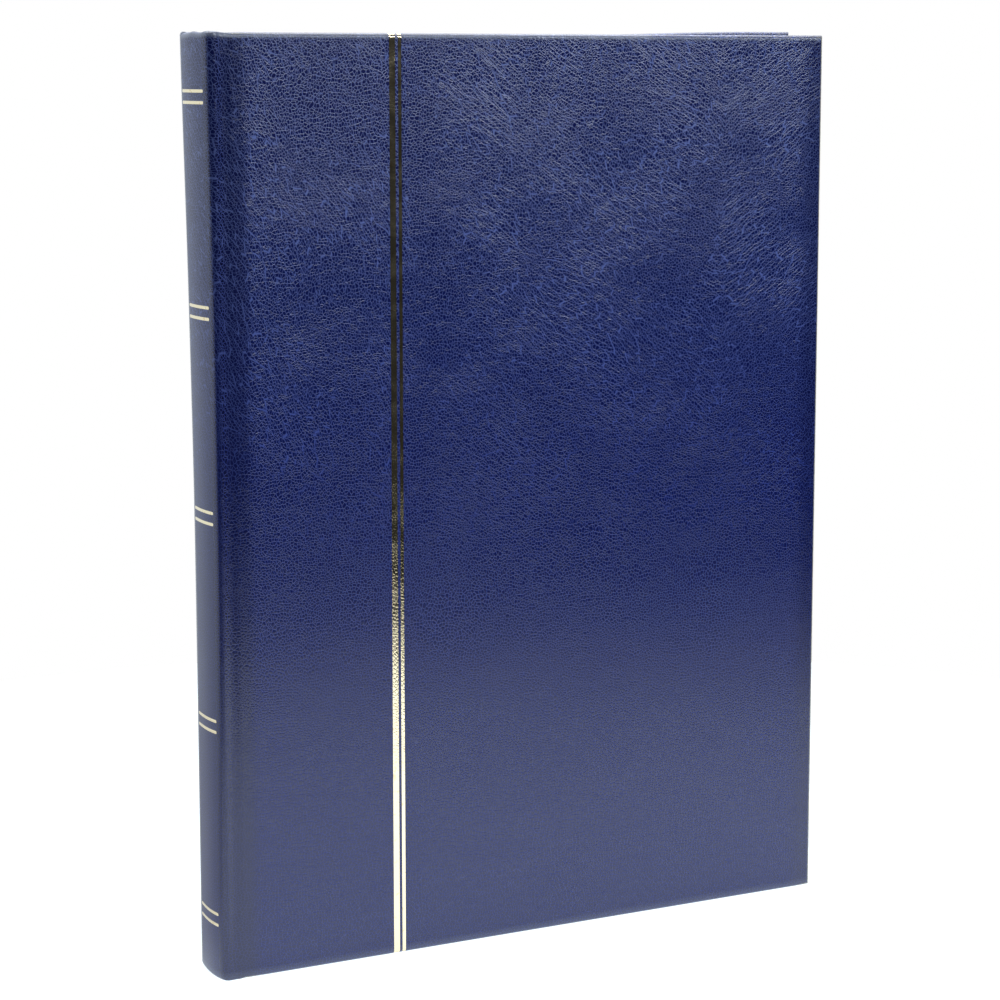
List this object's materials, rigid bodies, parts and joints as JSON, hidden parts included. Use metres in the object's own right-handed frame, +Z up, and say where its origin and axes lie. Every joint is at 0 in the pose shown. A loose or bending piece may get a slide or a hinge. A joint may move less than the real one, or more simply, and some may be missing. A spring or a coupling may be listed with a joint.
{
  "type": "stamp album",
  "caption": "Case-bound A4 stamp stockbook with grained leatherette covers, rounded spine, foil stripes and card leaves with clear pocket strips.",
  "frame": {"origin": "under the middle of the closed album's box, on the surface that it stands on", "axes": "+Z up along the spine, +X from the spine to the fore edge, +Y from the front cover to the back cover"},
  "size_m": [0.232, 0.023, 0.305],
  "materials": {
    "navy_leatherette": "fine-grained, satin, navy blue",
    "gold_foil": "bright hot-stamped foil, pale gold",
    "greyboard": "matt pressed board",
    "endpaper": "matt black paper with a fine laid texture",
    "linen": "woven black bookbinding cloth",
    "leaf_card": "matt black card with clear pocket strips",
    "glassine": "translucent, slightly glossy glassine"
  },
  "bodies": {
    "spine": {"spine_leather": "navy_leatherette", "spine_inlay": "greyboard", "front_joint_leather": "navy_leatherette", "back_joint_leather": "navy_leatherette", "block_mull": "linen", "spine_line_1_upper": "gold_foil", "spine_line_1_lower": "gold_foil", "spine_line_2_upper": "gold_foil", "spine_line_2_lower": "gold_foil", "spine_line_3_upper": "gold_foil", "spine_line_3_lower": "gold_foil", "spine_line_4_upper": "gold_foil", "spine_line_4_lower": "gold_foil", "spine_line_5_upper": "gold_foil", "spine_line_5_lower": "gold_foil"},
    "front_cover": {"front_board": "greyboard", "front_leather": "navy_leatherette", "front_pastedown": "endpaper", "wide_foil_stripe": "gold_foil", "narrow_foil_stripe": "gold_foil"},
    "back_cover": {"back_board": "greyboard", "back_leather": "navy_leatherette", "back_pastedown": "endpaper"},
    "front_flyleaf_body": {"front_flyleaf": "endpaper"},
    "back_flyleaf_body": {"back_flyleaf": "endpaper"},
    "leaf_01_body": {"leaf_01": "leaf_card", "glassine_01": "glassine"},
    "leaf_02_body": {"leaf_02": "leaf_card", "glassine_02": "glassine"},
    "leaf_03_body": {"leaf_03": "leaf_card", "glassine_03": "glassine"},
    "leaf_04_body": {"leaf_04": "leaf_card", "glassine_04": "glassine"},
    "leaf_05_body": {"leaf_05": "leaf_card", "glassine_05": "glassine"},
    "leaf_06_body": {"leaf_06": "leaf_card", "glassine_06": "glassine"},
    "leaf_07_body": {"leaf_07": "leaf_card", "glassine_07": "glassine"},
    "leaf_08_body": {"leaf_08": "leaf_card", "glassine_08": "glassine"},
    "leaf_09_body": {"leaf_09": "leaf_card", "glassine_09": "glassine"},
    "leaf_10_body": {"leaf_10": "leaf_card", "glassine_10": "glassine"},
    "leaf_11_body": {"leaf_11": "leaf_card", "glassine_11": "glassine"},
    "leaf_12_body": {"leaf_12": "leaf_card", "glassine_12": "glassine"},
    "leaf_13_body": {"leaf_13": "leaf_card", "glassine_13": "glassine"},
    "leaf_14_body": {"leaf_14": "leaf_card", "glassine_14": "glassine"},
    "leaf_15_body": {"leaf_15": "leaf_card", "glassine_15": "glassine"},
    "leaf_16_body": {"leaf_16": "leaf_card"}
  },
  "joints": [
    {"name": "front_cover_hinge", "type": "hinge", "parent": "spine", "child": "front_cover", "pos_m": [-0.111, -0.0104, 0.1525], "axis": [0, 0, -1], "range_deg": [0, 178]},
    {"name": "back_cover_hinge", "type": "hinge", "parent": "spine", "child": "back_cover", "pos_m": [-0.111, 0.0104, 0.1525], "axis": [0, 0, 1], "range_deg": [0, 178]},
    {"name": "front_flyleaf_hinge", "type": "hinge", "parent": "spine", "child": "front_flyleaf_body", "pos_m": [-0.1079, -0.00887, 0.1525], "axis": [0, 0, -1], "range_deg": [0, 85]},
    {"name": "leaf_01_hinge", "type": "hinge", "parent": "spine", "child": "leaf_01_body", "pos_m": [-0.1079, -0.00825, 0.1525], "axis": [0, 0, -1], "range_deg": [0, 76]},
    {"name": "leaf_02_hinge", "type": "hinge", "parent": "spine", "child": "leaf_02_body", "pos_m": [-0.1079, -0.00715, 0.1525], "axis": [0, 0, -1], "range_deg": [0, 67]},
    {"name": "leaf_03_hinge", "type": "hinge", "parent": "spine", "child": "leaf_03_body", "pos_m": [-0.1079, -0.00605, 0.1525], "axis": [0, 0, -1], "range_deg": [0, 58]},
    {"name": "leaf_04_hinge", "type": "hinge", "parent": "spine", "child": "leaf_04_body", "pos_m": [-0.1079, -0.00495, 0.1525], "axis": [0, 0, -1], "range_deg": [0, 49]},
    {"name": "leaf_05_hinge", "type": "hinge", "parent": "spine", "child": "leaf_05_body", "pos_m": [-0.1079, -0.00385, 0.1525], "axis": [0, 0, -1], "range_deg": [0, 40]},
    {"name": "leaf_06_hinge", "type": "hinge", "parent": "spine", "child": "leaf_06_body", "pos_m": [-0.1079, -0.00275, 0.1525], "axis": [0, 0, -1], "range_deg": [0, 31]},
    {"name": "leaf_07_hinge", "type": "hinge", "parent": "spine", "child": "leaf_07_body", "pos_m": [-0.1079, -0.00165, 0.1525], "axis": [0, 0, -1], "range_deg": [0, 22]},
    {"name": "leaf_08_hinge", "type": "hinge", "parent": "spine", "child": "leaf_08_body", "pos_m": [-0.1079, -0.00055, 0.1525], "axis": [0, 0, -1], "range_deg": [0, 13]},
    {"name": "leaf_09_hinge", "type": "hinge", "parent": "spine", "child": "leaf_09_body", "pos_m": [-0.1079, 0.00055, 0.1525], "axis": [0, 0, 1], "range_deg": [0, 13]},
    {"name": "leaf_10_hinge", "type": "hinge", "parent": "spine", "child": "leaf_10_body", "pos_m": [-0.1079, 0.00165, 0.1525], "axis": [0, 0, 1], "range_deg": [0, 22]},
    {"name": "leaf_11_hinge", "type": "hinge", "parent": "spine", "child": "leaf_11_body", "pos_m": [-0.1079, 0.00275, 0.1525], "axis": [0, 0, 1], "range_deg": [0, 31]},
    {"name": "leaf_12_hinge", "type": "hinge", "parent": "spine", "child": "leaf_12_body", "pos_m": [-0.1079, 0.00385, 0.1525], "axis": [0, 0, 1], "range_deg": [0, 40]},
    {"name": "leaf_13_hinge", "type": "hinge", "parent": "spine", "child": "leaf_13_body", "pos_m": [-0.1079, 0.00495, 0.1525], "axis": [0, 0, 1], "range_deg": [0, 49]},
    {"name": "leaf_14_hinge", "type": "hinge", "parent": "spine", "child": "leaf_14_body", "pos_m": [-0.1079, 0.00605, 0.1525], "axis": [0, 0, 1], "range_deg": [0, 58]},
    {"name": "leaf_15_hinge", "type": "hinge", "parent": "spine", "child": "leaf_15_body", "pos_m": [-0.1079, 0.00715, 0.1525], "axis": [0, 0, 1], "range_deg": [0, 67]},
    {"name": "leaf_16_hinge", "type": "hinge", "parent": "spine", "child": "leaf_16_body", "pos_m": [-0.1079, 0.00825, 0.1525], "axis": [0, 0, 1], "range_deg": [0, 76]},
    {"name": "back_flyleaf_hinge", "type": "hinge", "parent": "spine", "child": "back_flyleaf_body", "pos_m": [-0.1079, 0.00887, 0.1525], "axis": [0, 0, 1], "range_deg": [0, 85]}
  ],
  "couplings": [
    {"joint": "front_flyleaf_hinge", "follows": "front_cover_hinge", "ratio": 0.4775},
    {"joint": "leaf_01_hinge", "follows": "front_cover_hinge", "ratio": 0.4269},
    {"joint": "leaf_02_hinge", "follows": "front_cover_hinge", "ratio": 0.3764},
    {"joint": "leaf_03_hinge", "follows": "front_cover_hinge", "ratio": 0.3258},
    {"joint": "leaf_04_hinge", "follows": "front_cover_hinge", "ratio": 0.2752},
    {"joint": "leaf_05_hinge", "follows": "front_cover_hinge", "ratio": 0.2247},
    {"joint": "leaf_06_hinge", "follows": "front_cover_hinge", "ratio": 0.1741},
    {"joint": "leaf_07_hinge", "follows": "front_cover_hinge", "ratio": 0.1235},
    {"joint": "leaf_08_hinge", "follows": "front_cover_hinge", "ratio": 0.073},
    {"joint": "leaf_09_hinge", "follows": "back_cover_hinge", "ratio": 0.073},
    {"joint": "leaf_10_hinge", "follows": "back_cover_hinge", "ratio": 0.1235},
    {"joint": "leaf_11_hinge", "follows": "back_cover_hinge", "ratio": 0.1741},
    {"joint": "leaf_12_hinge", "follows": "back_cover_hinge", "ratio": 0.2247},
    {"joint": "leaf_13_hinge", "follows": "back_cover_hinge", "ratio": 0.2752},
    {"joint": "leaf_14_hinge", "follows": "back_cover_hinge", "ratio": 0.3258},
    {"joint": "leaf_15_hinge", "follows": "back_cover_hinge", "ratio": 0.3764},
    {"joint": "leaf_16_hinge", "follows": "back_cover_hinge", "ratio": 0.4269},
    {"joint": "back_flyleaf_hinge", "follows": "back_cover_hinge", "ratio": 0.4775}
  ]
}
